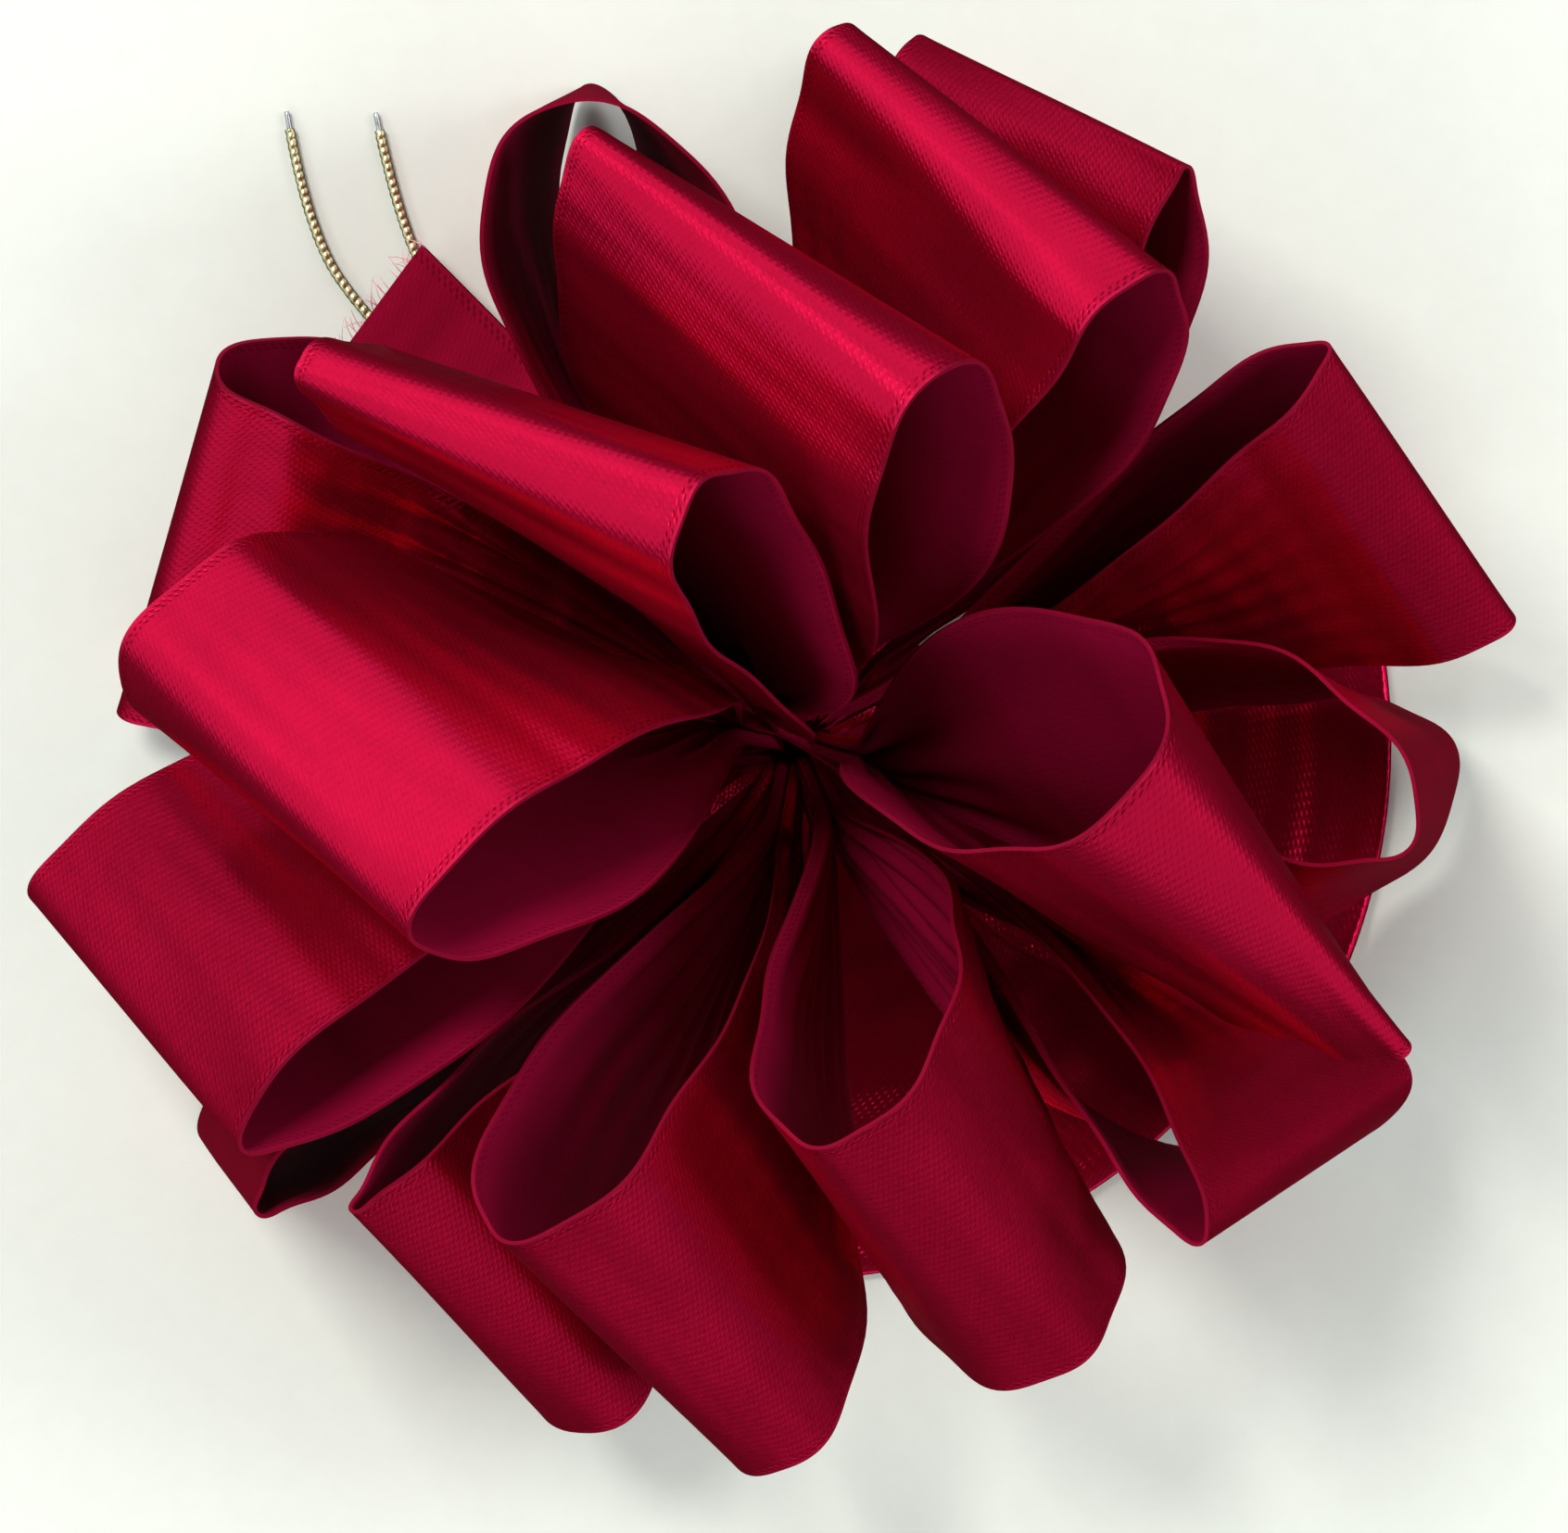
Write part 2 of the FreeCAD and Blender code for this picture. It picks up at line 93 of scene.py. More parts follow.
def loop_surface(row, index, spread, fold_depth, gather_depth):
    """The ribbon's middle surface in mm, as a grid of points along and across it."""
    azimuth, elevation, roll, reach, opening, fullness, bend, twist, gather, flare = row
    out, across, through = loop_axes(azimuth, elevation, roll)
    ease = np.linspace(0, 1, ALONG)
    s = (ease - 0.035 * np.sin(4 * np.pi * ease))[:, None]
    side = np.linspace(-1, 1, ACROSS)[None, :]
    share = (1 - np.cos(2 * np.pi * s)) / 2
    thick = opening * np.sin(2 * np.pi * s) * np.abs(np.sin(np.pi * s)) ** fullness * (1 + flare * side)
    thick = thick + FOOT_HALF_GAP * np.cos(np.pi * s) + bend * reach * share ** 2
    opened = np.sin(np.pi / 2 * np.minimum(share / gather, 1)) ** (GATHER_POWER * spread)
    half_width = RIBBON_WIDTH / 2 * (FOOT_WIDTH_SHARE + (1 - FOOT_WIDTH_SHARE) * opened)
    turned = np.radians(twist) * (1 - share)
    wide = across * np.cos(turned)[..., None] + through * np.sin(turned)[..., None]
    deep = through * np.cos(turned)[..., None] - across * np.sin(turned)[..., None]
    length = (FOOT_RADIUS + (reach - FOOT_RADIUS) * share
              - FOOT_REACH_IN * (1 - np.minimum(share / 0.04, 1)) ** 2)
    p = (np.array([0, 0, PINCH_HEIGHT]) + out * length[..., None] + deep * thick[..., None]
         + wide * (half_width * side)[..., None])
    # pleats and gathers run out of the foot, the same way on both legs; low waves lie across the tip
    rng = np.random.default_rng(index + 11)
    phase = rng.random(5) * 2 * np.pi
    normal = grid_normal(p)
    leg = np.where(s < 0.5, 1.0, -1.0) * (1 - share)
    pleats = ((0.35 + 0.45 * np.minimum(share / 0.1, 1)) * np.exp(-(share / 0.2) ** 2)
              * np.sin(4 * np.pi * side + phase[0] + 0.8 * np.sin(2 * side + phase[1])))
    fan = (0.75 * np.exp(-((share - 0.42) / 0.3) ** 2)
           * np.sin(1.5 * np.pi * side + phase[2]))
    folds = leg * (pleats + fan)
    gathers = (gather_depth * leg * np.exp(-((share - 0.35) / 0.3) ** 2)
               * np.sin(8 * np.pi * side + phase[0]))
    tip = np.exp(-((share - 0.8) / 0.3) ** 2)
    waves = tip * (0.33 * np.sin(2 * np.pi * (8.6 + 1.6 * rng.random()) * s + phase[3] + 0.8 * side)
                   + 0.24 * np.sin(2 * np.pi * 4.3 * s + phase[4] - 1.0 * side + 0.6 * np.sin(2 * side)))
    return p + normal * (fold_depth * (folds + waves) + gathers)[..., None]


def grid_normal(p):
    run = np.gradient(p, axis=0)
    width = np.gradient(p, axis=1)
    return unit(np.cross(run, width))


def ribbon_mesh(name, p, thickness, outer_sign, slots, selvage=0.04, width=RIBBON_WIDTH):
    """A closed strip of ribbon round a grid of points in mm, with its length and width as UVs."""
    n, m = p.shape[:2]
    normal = grid_normal(p) * outer_sign
    across = np.linspace(0, width, m)
    from_edge = np.minimum(across, width - across)
    half = (thickness / 2 + selvage / 2 * np.exp(-(from_edge / 0.7) ** 2))[None, :, None]
    verts = np.concatenate([(p + normal * half).reshape(-1, 3), (p - normal * half).reshape(-1, 3)])
    i, j = np.meshgrid(np.arange(n - 1), np.arange(m - 1), indexing="ij")
    a, b, c, d = i * m + j, (i + 1) * m + j, (i + 1) * m + j + 1, i * m + j + 1
    front = np.stack([a, b, c, d], -1).reshape(-1, 4)
    back = np.stack([a, d, c, b], -1).reshape(-1, 4) + n * m
    if outer_sign < 0:
        front, back = front[:, ::-1], back[:, ::-1]
    k, e = np.arange(n - 1), n * m
    low = np.stack([k * m, k * m + e, (k + 1) * m + e, (k + 1) * m], -1)
    high = np.stack([k * m + m - 1, (k + 1) * m + m - 1, (k + 1) * m + m - 1 + e, k * m + m - 1 + e], -1)
    q, last = np.arange(m - 1), (n - 1) * m
    start = np.stack([q, q + 1, q + 1 + e, q + e], -1)
    end = np.stack([last + q, last + q + e, last + q + 1 + e, last + q + 1], -1)
    rim = np.concatenate([low, high, start, end])
    if outer_sign < 0:
        rim = rim[:, ::-1]
    faces = np.concatenate([front, back, rim])
    mesh = bpy.data.meshes.new(name)
    mesh.from_pydata((verts * MM).tolist(), [], faces.tolist())
    middle = p[:, m // 2]
    run = np.concatenate([[0], np.cumsum(np.linalg.norm(np.diff(middle, axis=0), axis=1))])
    u = np.tile(np.repeat(run, m), 2) * MM
    v = np.tile(np.tile(across, n), 2) * MM
    layer = mesh.uv_layers.new(name="ribbon")
    loops = np.zeros(len(mesh.loops), np.int32)
    mesh.loops.foreach_get("vertex_index", loops)
    layer.data.foreach_set("uv", np.stack([u[loops], v[loops]], -1).astype(np.float32).ravel())
    index = np.concatenate([np.zeros(len(front)), np.ones(len(back)), np.full(len(rim), 2)]).astype(np.int32)
    mesh.polygons.foreach_set("material_index", index)
    for material in slots:
        mesh.materials.append(material)
    mesh.polygons.foreach_set("use_smooth", np.ones(len(faces), bool))
    sharp = mesh.attributes.new("sharp_edge", "BOOLEAN", "EDGE")
    kind = {}
    for polygon in mesh.polygons:
        for key in polygon.edge_keys:
            kind.setdefault(key, set()).add(polygon.material_index)
    sharp.data.foreach_set("value", [len(kind.get(tuple(sorted(edge.vertices)), ())) > 1
                                     for edge in mesh.edges])
    mesh.update()
    obj = bpy.data.objects.new(name, mesh)
    bpy.context.scene.collection.objects.link(obj)
    return obj, float(run[-1])


# ------------------------------------------------------------------ materials
def node_material(name):
    material = bpy.data.materials.new(name)
    material.use_nodes = True
    tree = material.node_tree
    return material, tree, tree.nodes["Principled BSDF"]


def link(tree, source, target):
    tree.links.new(source, target)


def math_node(tree, operation, a, b=None, c=None):
    node = tree.nodes.new("ShaderNodeMath")
    node.operation = operation
    for socket, value in zip(node.inputs, (a, b, c)):
        if value is None:
            continue
        if isinstance(value, (int, float)):
            socket.default_value = value
        else:
            link(tree, value, socket)
    return node.outputs[0]


def ramp(tree, value, stops):
    node = tree.nodes.new("ShaderNodeValToRGB")
    elements = node.color_ramp.elements
    for place, color in stops[1:-1]:
        elements.new(place)
    for element, (place, color) in zip(elements, stops):
        element.position, element.color = place, (*color, 1)
    link(tree, value, node.inputs[0])
    return node.outputs[0]


def mix_color(tree, factor, a, b):
    node = tree.nodes.new("ShaderNodeMix")
    node.data_type = "RGBA"
    for socket, value in ((node.inputs[0], factor), (node.inputs[6], a), (node.inputs[7], b)):
        if isinstance(value, (int, float)):
            socket.default_value = value
        elif isinstance(value, tuple):
            socket.default_value = (*value, 1)
        else:
            link(tree, value, socket)
    return node.outputs[2]


def ribbon_coordinates(tree):
    uv = tree.nodes.new("ShaderNodeUVMap")
    uv.uv_map = "ribbon"
    split = tree.nodes.new("ShaderNodeSeparateXYZ")
    link(tree, uv.outputs[0], split.inputs[0])
    return uv.outputs[0], split.outputs[0], split.outputs[1]


def sine(tree, value, pitch, phase=0.0):
    """A wave from 0 to 1 with that pitch in metres."""
    turned = math_node(tree, "MULTIPLY_ADD", value, 2 * math.pi / pitch, phase)
    return math_node(tree, "MULTIPLY_ADD", math_node(tree, "SINE", turned), 0.5, 0.5)


def bump(tree, height, distance, strength=1.0, normal=None):
    node = tree.nodes.new("ShaderNodeBump")
    node.inputs["Strength"].default_value = strength
    node.inputs["Distance"].default_value = distance
    link(tree, height, node.inputs["Height"])
    if normal is not None:
        link(tree, normal, node.inputs["Normal"])
    return node.outputs[0]


def noise(tree, vector, scale, detail=3.0, roughness=0.5):
    node = tree.nodes.new("ShaderNodeTexNoise")
    node.inputs["Scale"].default_value = scale
    node.inputs["Detail"].default_value = detail
    node.inputs["Roughness"].default_value = roughness
    link(tree, vector, node.inputs["Vector"])
    return node.outputs[0]


def satin(name, base, painted_edge_highlight, roughness, metallic, anisotropic, weave, specular=0.2):
    """Satin ribbon: a fine diagonal weave on its face and a stitched selvage along both edges."""
    material, tree, shader = node_material(name)
    uv, u, v = ribbon_coordinates(tree)
    half_width = RIBBON_WIDTH / 2 * MM
    from_edge = math_node(tree, "SUBTRACT", half_width,
                          math_node(tree, "ABSOLUTE", math_node(tree, "SUBTRACT", v, half_width)))
    fine = noise(tree, uv, 1500, 4, 0.7)
    broad = noise(tree, uv, 120, 3, 0.5)
    # short diagonal floats, 0.42 mm apart along the ribbon, broken up along their length
    diagonal = math_node(tree, "ADD", u, math_node(tree, "MULTIPLY", v, 0.45))
    diagonal = math_node(tree, "MULTIPLY_ADD", broad, 0.0004, diagonal)
    steep = math_node(tree, "SUBTRACT", v, math_node(tree, "MULTIPLY", u, 0.3))
    twill = math_node(tree, "MULTIPLY", sine(tree, diagonal, 0.00042), sine(tree, steep, 0.00075))
    # selvage: slanting stitches 0.62 mm apart, from 0.3 to 1 mm in from the edge
    slant = math_node(tree, "MULTIPLY_ADD", from_edge, 0.8, u)
    stitch = sine(tree, slant, 0.00062)
    band = math_node(tree, "MULTIPLY", math_node(tree, "LESS_THAN", from_edge, 0.00105),
                     math_node(tree, "GREATER_THAN", from_edge, 0.0003))
    rows = math_node(tree, "POWER", sine(tree, from_edge, 0.00040), 0.7)
    stitch_hollow_shade_mask = math_node(tree, "MULTIPLY", math_node(tree, "MULTIPLY", band, rows),
                       math_node(tree, "POWER", stitch, 2.0))
    rim = math_node(tree, "LESS_THAN", from_edge, 0.0003)
    tone = math_node(tree, "MULTIPLY_ADD", fine, 0.5, math_node(tree, "MULTIPLY", broad, 0.5))
    color = ramp(tree, tone, [(0.3, tuple(c * 0.88 for c in base)), (0.5, base),
                              (0.75, tuple(c * 1.12 for c in base))])
    # painted shade: the stitch hollows are mixed up to halfway towards a much darker red
    color = mix_color(tree, math_node(tree, "MULTIPLY", stitch_hollow_shade_mask, 0.5), color, tuple(c * 0.3 for c in base))
    # painted highlight: the outermost 0.3 mm of each edge is mixed three tenths of the way to a lighter red
    color = mix_color(tree, math_node(tree, "MULTIPLY", rim, 0.3), color, painted_edge_highlight)
    # a speck of lint here and there
    cells = tree.nodes.new("ShaderNodeTexVoronoi")
    cells.inputs["Scale"].default_value = 62
    link(tree, uv, cells.inputs["Vector"])
    speck = math_node(tree, "LESS_THAN", cells.outputs["Distance"], 0.0055)
    color = mix_color(tree, math_node(tree, "MULTIPLY", speck, 0.75), color, (0.8, 0.45, 0.5))
    link(tree, color, shader.inputs["Base Color"])
    height = math_node(tree, "ADD", math_node(tree, "MULTIPLY", twill, 1.1 * weave),
                       math_node(tree, "MULTIPLY", fine, 0.9 * weave))
    height = math_node(tree, "SUBTRACT", height, math_node(tree, "MULTIPLY", stitch_hollow_shade_mask, 2.0))
    # slack in the cloth, low ripples running from selvage to selvage
    along = tree.nodes.new("ShaderNodeCombineXYZ")
    link(tree, u, along.inputs[0])
    link(tree, math_node(tree, "MULTIPLY", v, 0.12), along.inputs[1])
    ripple = bump(tree, noise(tree, along.outputs[0], 190, 1, 0.4), 0.0012 * weave)
    link(tree, bump(tree, height, 0.00003, 0.6, ripple), shader.inputs["Normal"])
    link(tree, math_node(tree, "MULTIPLY_ADD", fine, 0.10, roughness - 0.05), shader.inputs["Roughness"])
    shader.inputs["Metallic"].default_value = metallic
    shader.inputs["Specular IOR Level"].default_value = specular
    shader.inputs["Specular Tint"].default_value = (0.7, 0.05, 0.14, 1)
    shader.inputs["Anisotropic"].default_value = anisotropic
    shader.inputs["Anisotropic Rotation"].default_value = 0.25
    tangent = tree.nodes.new("ShaderNodeTangent")
    tangent.direction_type, tangent.uv_map = "UV_MAP", "ribbon"
    link(tree, tangent.outputs[0], shader.inputs["Tangent"])
    return material


# each satin's second colour is the painted highlight along the ribbon's edges
face_satin = satin("satin_face", (0.47, 0.0049, 0.037), (0.56, 0.018, 0.072), 0.29, 0.85, 0.75, 0.8)
back_satin = satin("satin_back", (0.26, 0.0035, 0.032), (0.32, 0.008, 0.04), 0.62, 0.10, 0.0, 0.5, 0.05)
edge_satin = satin("satin_edge", (0.20, 0.0018, 0.018), (0.24, 0.004, 0.025), 0.55, 0.4, 0.0, 0.3)


def metal(name, dark, bright, roughness, scale):
    material, tree, shader = node_material(name)
    coordinates = tree.nodes.new("ShaderNodeTexCoord")
    grain = noise(tree, coordinates.outputs["Object"], scale, 3, 0.6)
    link(tree, ramp(tree, grain, [(0.3, dark), (0.55, tuple((a + b) / 2 for a, b in zip(dark, bright))),
                                  (0.75, bright)]), shader.inputs["Base Color"])
    link(tree, math_node(tree, "MULTIPLY_ADD", grain, 0.25, roughness - 0.12), shader.inputs["Roughness"])
    link(tree, bump(tree, grain, 0.00003, 0.4), shader.inputs["Normal"])
    shader.inputs["Metallic"].default_value = 1.0
    return material


gold = metal("gold_thread", (0.32, 0.29, 0.11), (0.86, 0.84, 0.52), 0.36, 2600)
steel = metal("steel_core", (0.35, 0.36, 0.38), (0.78, 0.79, 0.80), 0.30, 1500)

# ------------------------------------------------------------------ loops
for index, (name, row) in enumerate(LOOPS.items()):
    p = loop_surface(row, index, FOOT_SPREAD.get(name, 1.0), FOLD_DEPTH.get(name, 1.0),
                     GATHERS.get(name, 0.0))
    piece, length = ribbon_mesh(name + "_ribbon", p, RIBBON_THICKNESS, -1,
                                (face_satin, back_satin, edge_satin))
    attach(piece, name)
    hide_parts(name)


# ------------------------------------------------------------------ loops pressed flat under the tie
# azimuth, reach out to the middle of the fold, half gap; the second lies between the first one's legs
UNDER_LOOPS = {"under_loop_1": (353, 46.5, 0.53), "under_loop_2": (295, 42.0, 0.19)}
UNDER_HEIGHT = 1.0
UNDER_FOOT_RADIUS = 4.5
LEG_POINTS = 60
# share of the way from foot to fold, half width there
UNDER_OUTLINE = ((0, 4.4), (0.175, 8.6), (0.4, 13.6), (0.65, 17.0), (0.9, 19.05))
for index, (name, (azimuth, reach, half_gap)) in enumerate(UNDER_LOOPS.items()):
    around = np.radians(azimuth)
    fold_at, knots = reach - half_gap - 0.2, np.array(UNDER_OUTLINE)
    leg = np.linspace(UNDER_FOOT_RADIUS, fold_at, LEG_POINTS)
    bend = np.linspace(0, np.pi, 13)[1:-1]
    radius = np.concatenate([leg, fold_at + half_gap * np.sin(bend), leg[::-1]])
    height = UNDER_HEIGHT + np.concatenate([np.full(LEG_POINTS, half_gap), half_gap * np.cos(bend),
                                            np.full(LEG_POINTS, -half_gap)])
    half = np.interp((radius - FOOT_RADIUS) / (reach - FOOT_RADIUS), knots[:, 0], knots[:, 1])
    side = np.linspace(-1, 1, ACROSS)
    crease = 0.05 * np.exp(-((radius - 7) / 14) ** 2)[:, None] * np.sin(np.pi * 5 * side + index)[None, :]
    fan = np.arcsin(half / radius)[:, None] * side[None, :]
    x, y = radius[:, None] * np.cos(fan), radius[:, None] * np.sin(fan)
    p = np.stack([x * np.cos(around) - y * np.sin(around), x * np.sin(around) + y * np.cos(around),
                  height[:, None] + crease], -1)
    piece, length = ribbon_mesh(name + "_ribbon", p, RIBBON_THICKNESS, 1,
                                (face_satin, back_satin, edge_satin))
    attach(piece, name)
    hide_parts(name)


# ------------------------------------------------------------------ gathered waist
def revolved_mesh(name, radii, heights, folds, depth, twist, material, segments=264):
    """A bundle of gathered ribbon: a turned outline whose radius is pleated all round."""
    angle = np.linspace(0, 2 * np.pi, segments, endpoint=False)
    rng = np.random.default_rng(5)
    shift = 0.35 * np.sin(3 * angle + 1.0) + 0.25 * np.sin(7 * angle + 2.2)
    verts = []
    for k, (r, z, d) in enumerate(zip(radii, heights, depth)):
        wave = np.abs(np.sin(folds / 2 * angle + shift + twist * z)) ** 0.7
        rr = r * (1 - d * (1 - wave))
        zz = z + 0.12 * d * r * np.cos(folds * angle + shift * 2)
        verts.append(np.stack([rr * np.cos(angle), rr * np.sin(angle), zz if 0 < k < len(radii) - 1
                               else np.full_like(angle, z)], -1))
    verts = np.concatenate(verts)
    rows = len(radii)
    i, j = np.meshgrid(np.arange(rows - 1), np.arange(segments), indexing="ij")
    nxt = (j + 1) % segments
    faces = np.stack([i * segments + j, i * segments + nxt, (i + 1) * segments + nxt,
                      (i + 1) * segments + j], -1).reshape(-1, 4).tolist()
    faces.append(list(range(segments))[::-1])
    faces.append([(rows - 1) * segments + k for k in range(segments)])
    mesh = bpy.data.meshes.new(name)
    mesh.from_pydata((verts * MM).tolist(), [], faces)
    u = np.repeat(heights, segments) * MM
    v = np.tile(np.linspace(0, 1, segments) * 0.9 * RIBBON_WIDTH + 2, rows) * MM
    layer = mesh.uv_layers.new(name="ribbon")
    loops = np.zeros(len(mesh.loops), np.int32)
    mesh.loops.foreach_get("vertex_index", loops)
    layer.data.foreach_set("uv", np.stack([u[loops], v[loops]], -1).astype(np.float32).ravel())
    mesh.materials.append(material)
    mesh.polygons.foreach_set("use_smooth", np.ones(len(faces), bool))
    mesh.update()
    obj = bpy.data.objects.new(name, mesh)
    bpy.context.scene.collection.objects.link(obj)
    return obj


# radius, height, depth of the pleats as a share of the radius
outline = [(3.6, 0.0, 0.10), (4.8, 0.15, 0.14), (4.95, 0.9, 0.2), (4.8, 2.0, 0.22), (4.3, 3.1, 0.2),
           (3.6, 4.2, 0.12), (3.45, 5.4, 0.06), (3.55, 7.4, 0.10), (4.2, 9.4, 0.2), (5.2, 11.6, 0.26),
           (5.8, 13.6, 0.3), (5.6, 15.4, 0.34), (4.8, 16.6, 0.42), (3.6, 16.9, 0.5), (2.4, 16.0, 0.5),
           (1.2, 14.8, 0.4), (0.3, 14.0, 0.2)]
fine = np.linspace(0, len(outline) - 1, 58)
knots = np.arange(len(outline))
radii, heights, depth = (np.interp(fine, knots, [o[k] for o in outline]) for k in range(3))
waist = revolved_mesh("waist_gathers", radii, heights, 26, depth, 0.05, back_satin)
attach(waist, "waist")
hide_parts("gathered_waist")


# the ribbon crosses the pinch from top_loop_2 to top_loop_4: near edge, far edge, both as x, y, z
CROSSING = (((-8.4, 2.9, 20.4), (-7.9, 4.3, 16.8)), ((-4.2, 1.9, 19.2), (-3.7, 3.2, 15.4)),
            ((0.2, -0.2, 18.6), (0.7, 1.0, 14.8)), ((4.2, -3.0, 19.2), (4.7, -1.8, 15.4)),
            ((8.2, -5.6, 20.4), (8.7, -4.4, 16.8)))
knots = np.array(CROSSING)
places = np.linspace(0, len(CROSSING) - 1, 60)
share = np.linspace(0, 1, 17)[None, :, None]
rims = [np.stack([np.interp(places, np.arange(len(CROSSING)), knots[:, k, axis]) for axis in range(3)], -1)
        for k in (0, 1)]
smooth = np.exp(-0.5 * (np.arange(-14, 15) / 5.0) ** 2)
rims = [np.stack([np.convolve(np.pad(rim[:, axis], 14, mode="reflect", reflect_type="odd"),
                              smooth / smooth.sum(), "valid") for axis in range(3)], -1) for rim in rims]
crossing = rims[0][:, None] * (1 - share) + rims[1][:, None] * share
CROSSING_WIDTH = 6.0
crossing[..., 2] += (0.5 * np.sin(np.pi * share) * np.cos(places / 1.3)[:, None, None])[..., 0]
over, _ = ribbon_mesh("waist_crossing", crossing, RIBBON_THICKNESS, -1, (face_satin, back_satin, edge_satin),
                      width=CROSSING_WIDTH)
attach(over, "waist")
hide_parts("gathered_waist")


# the folds drawn out flat under the pinch, seen only in the gaps between the loops: a dark sheet with the
# edge satin on top, put there as painted shade
SHADE_STRIP_LINE = ((9.3, 7.8, 0.17), (5.6, 3.4, 0.17), (1.0, -2.0, 0.17), (-2.4, -8.6, 0.17),
             (-4.95, -13.6, 0.17))
SHADE_STRIP_WIDTH = 12.0
line = np.stack([np.interp(np.linspace(0, 4, 33), np.arange(5), [point[axis] for point in SHADE_STRIP_LINE])
                 for axis in range(3)], -1)
heading = unit(np.gradient(line, axis=0))
sideways = np.stack([-heading[:, 1], heading[:, 0], heading[:, 2]], -1)
shade_strip = line[:, None] + sideways[:, None] * np.linspace(-0.5, 0.5, 13)[None, :, None] * SHADE_STRIP_WIDTH
shade_strip_piece, _ = ribbon_mesh("waist_shade_strip", shade_strip, RIBBON_THICKNESS, 1,
                       (edge_satin, back_satin, edge_satin), width=SHADE_STRIP_WIDTH)
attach(shade_strip_piece, "waist")
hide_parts("gathered_waist")


# ------------------------------------------------------------------ wound wire
def route_line(points, name):
    """A smooth line through a wire's control points, as points in mm."""
    curve = bpy.data.curves.new(name, "CURVE")
    curve.dimensions, curve.resolution_u = "3D", 24
    spline = curve.splines.new("NURBS")
    spline.points.add(len(points) - 1)
    for point, place in zip(spline.points, points):
        point.co = (place[0] * MM, place[1] * MM, place[2] * MM, 1)
    spline.order_u, spline.use_endpoint_u = 3, True
    holder = bpy.data.objects.new(name, curve)
    mesh = bpy.data.meshes.new_from_object(holder)
    line = np.array([vertex.co[:] for vertex in mesh.vertices]) / MM
    bpy.data.meshes.remove(mesh)
    bpy.data.objects.remove(holder)
    bpy.data.curves.remove(curve)
    return line


def evenly(line, step):
    along = np.concatenate([[0], np.cumsum(np.linalg.norm(np.diff(line, axis=0), axis=1))])
    places = np.linspace(0, along[-1], max(8, int(along[-1] / step)))
    return np.stack([np.interp(places, along, line[:, k]) for k in range(3)], -1), places


def tube_mesh(name, line, radius, material, pitch=None, ridge=0.0, sides=14, step=0.09):
    """A round wire along a line in mm; with a pitch, thread wound round it stands up as a ridge."""
    points, along = evenly(line, step)
    tangent = unit(np.gradient(points, axis=0))
    start = np.cross(tangent[0], [0.3, 0.2, 1.0])
    first = [start / np.linalg.norm(start)]
    for t in tangent[1:]:
        b = first[-1] - t * np.dot(first[-1], t)
        first.append(b / np.linalg.norm(b))
    first = np.array(first)
    second = np.cross(tangent, first)
    angle = np.linspace(0, 2 * np.pi, sides, endpoint=False)
    r = np.full((len(points), sides), float(radius))
    if pitch:
        turn = along[:, None] / pitch - angle[None, :] / (2 * np.pi)
        r = radius - ridge * (1 - np.abs(np.sin(np.pi * turn)) ** 0.8)
    ends = np.minimum(along, along[-1] - along)
    r = r * np.where(ends < 0.05, 0.86, 1.0)[:, None]
    verts = (points[:, None] + r[..., None] * (np.cos(angle)[None, :, None] * first[:, None]
                                               + np.sin(angle)[None, :, None] * second[:, None]))
    n = len(points)
    i, j = np.meshgrid(np.arange(n - 1), np.arange(sides), indexing="ij")
    nxt = (j + 1) % sides
    faces = np.stack([i * sides + j, i * sides + nxt, (i + 1) * sides + nxt, (i + 1) * sides + j],
                     -1).reshape(-1, 4).tolist()
    faces.append(list(range(sides))[::-1])
    faces.append([(n - 1) * sides + k for k in range(sides)])
    mesh = bpy.data.meshes.new(name)
    mesh.from_pydata((verts.reshape(-1, 3) * MM).tolist(), [], faces)
    mesh.materials.append(material)
    mesh.polygons.foreach_set("use_smooth", np.ones(len(faces), bool))
    mesh.update()
    obj = bpy.data.objects.new(name, mesh)
    bpy.context.scene.collection.objects.link(obj)
    return obj, points, float(along[-1])


SLEEVE_RADIUS, CORE_RADIUS, CORE_STICKS_OUT, WIRE_REST = 0.42, 0.2, 1.4, 0.42
WIND_PITCH, WIND_RIDGE = 0.65, 0.085
TAIL_AZIMUTH, TWIST_RADIUS, TWIST_HEIGHT, TWIST_SLOPE = 134.5, 5.2, 5.1, -28.0
TWIST_PITCH, TWIST_LENGTH, TWIST_HALF_SPACING, TWIST_TO_TAIL_GAP = 3.2, 4.4, 0.47, 0.5
WIRE_TAILS = {
    "wire_tail_left": [(-11.2, 9.9, 0.9), (-17.4, 17.0, WIRE_REST), (-25.5, 25.2, WIRE_REST),
                       (-33.3, 32.8, WIRE_REST), (-38.1, 39.6, WIRE_REST), (-39.6, 47.9, WIRE_REST)],
    "wire_tail_right": [(-9.4, 11.6, 0.9), (-15.3, 18.4, WIRE_REST), (-22.4, 27.0, WIRE_REST),
                        (-28.6, 35.2, WIRE_REST), (-31.4, 42.2, WIRE_REST), (-32.6, 47.8, WIRE_REST)],
}
turn, slope = math.radians(TAIL_AZIMUTH), math.radians(TWIST_SLOPE)
twist_start = np.array([math.cos(turn) * TWIST_RADIUS, math.sin(turn) * TWIST_RADIUS, TWIST_HEIGHT])
twist_way = np.array([math.cos(turn) * math.cos(slope), math.sin(turn) * math.cos(slope), math.sin(slope)])
sideways = unit(np.cross([0, 0, 1.0], twist_way))
upward = np.cross(twist_way, sideways)

